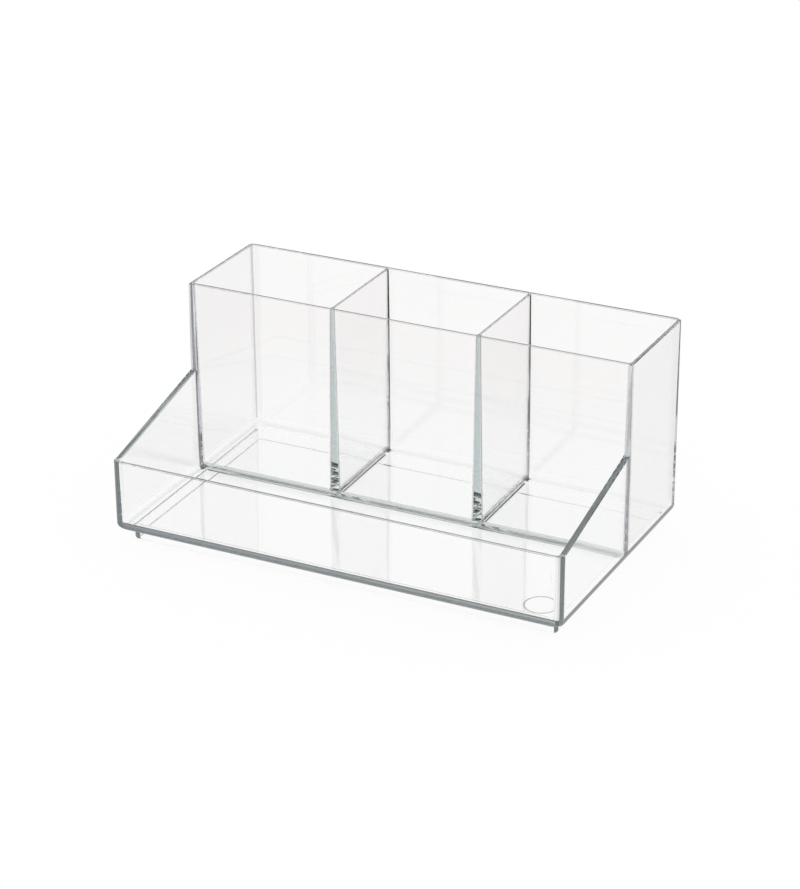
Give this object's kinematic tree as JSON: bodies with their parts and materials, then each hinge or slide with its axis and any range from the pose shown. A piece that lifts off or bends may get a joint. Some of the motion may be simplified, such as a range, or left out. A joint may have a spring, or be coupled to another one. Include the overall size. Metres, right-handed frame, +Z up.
{
  "type": "makeup organizer",
  "caption": "Clear plastic makeup organizer: tall open compartments side by side behind a low open tray with sloping sides, on a shallow stacking rim.",
  "frame": {"origin": "middle of the organizer's bounding box in plan, on the surface it stands on", "axes": "+X along the width to the right seen from the front, +Y from the tray's lip to the back wall, +Z up"},
  "size_m": [0.236, 0.14, 0.1075],
  "materials": {
    "clear_plastic": "clear injection-moulded polystyrene, polished, with a faint grey-green tint along its edges",
    "clear_rim": "the same clear polystyrene, polished, with a tapered rounded foot"
  },
  "bodies": {
    "root": {"tray_floor": "clear_plastic", "front_lip": "clear_plastic", "side_wall_left": "clear_plastic", "side_wall_right": "clear_plastic", "back_wall": "clear_plastic", "compartment_wall": "clear_plastic", "divider_1": "clear_plastic", "divider_2": "clear_plastic", "foot_rail_front": "clear_rim", "foot_rail_back": "clear_rim", "foot_rail_left": "clear_rim", "foot_rail_right": "clear_rim"}
  },
  "joints": []
}
